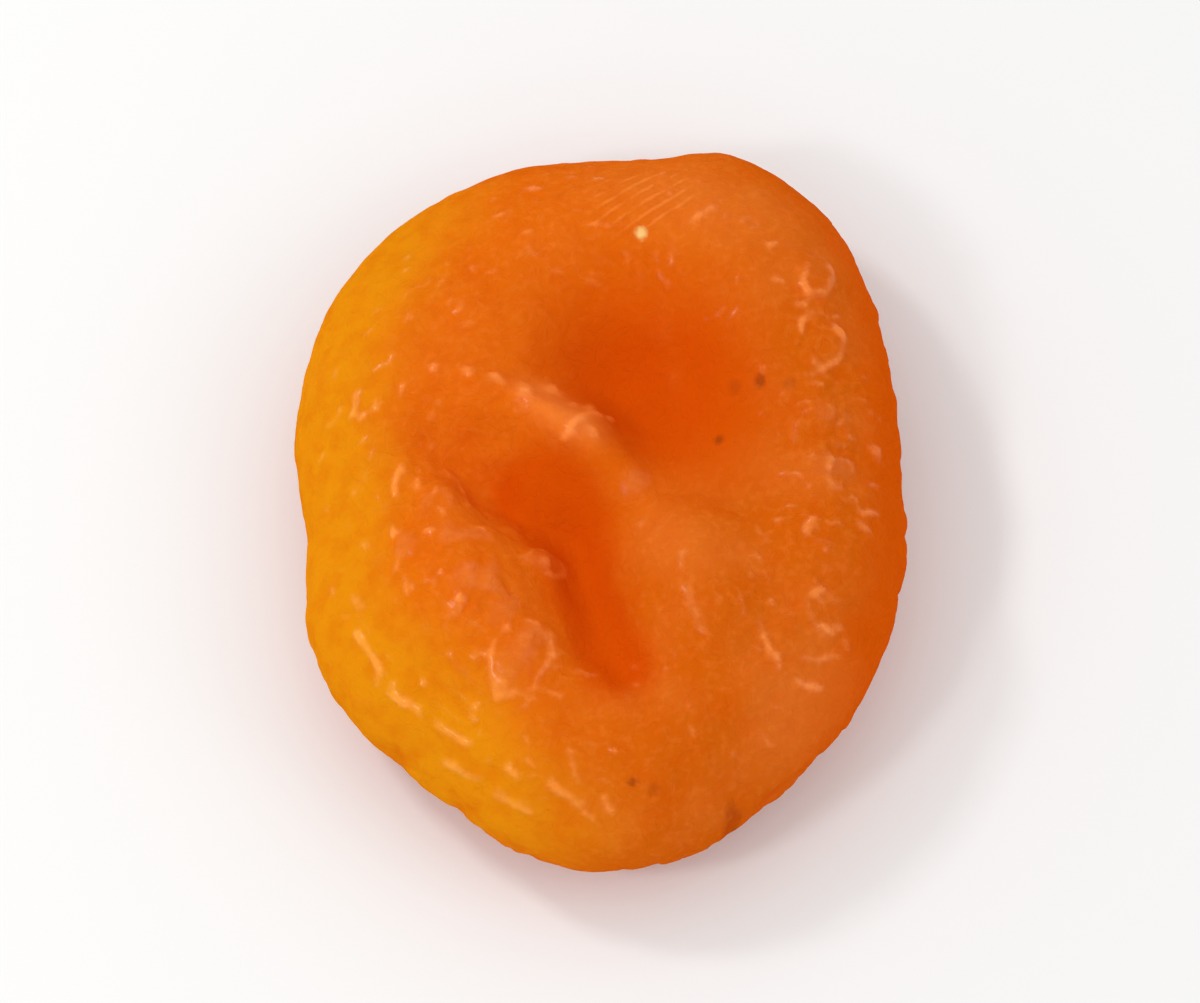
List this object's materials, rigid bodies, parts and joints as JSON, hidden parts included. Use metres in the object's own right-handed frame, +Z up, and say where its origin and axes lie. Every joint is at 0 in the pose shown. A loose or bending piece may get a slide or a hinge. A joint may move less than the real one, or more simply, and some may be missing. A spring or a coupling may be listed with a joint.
{
  "type": "dried apricot",
  "caption": "Whole pitted dried apricot: a thick-rimmed oval disc with a sunken, creased middle, lying flat on its underside.",
  "frame": {"origin": "on the surface the fruit rests on, under the middle of its outline", "axes": "+Z is up, with the sunken side on top; +Y runs along the fruit's length to its far end; +X is across it to the right"},
  "size_m": [0.0328, 0.0412, 0.0122],
  "materials": {
    "apricot_flesh": "satin"
  },
  "bodies": {
    "root": {"dried_apricot": "apricot_flesh"}
  },
  "joints": []
}
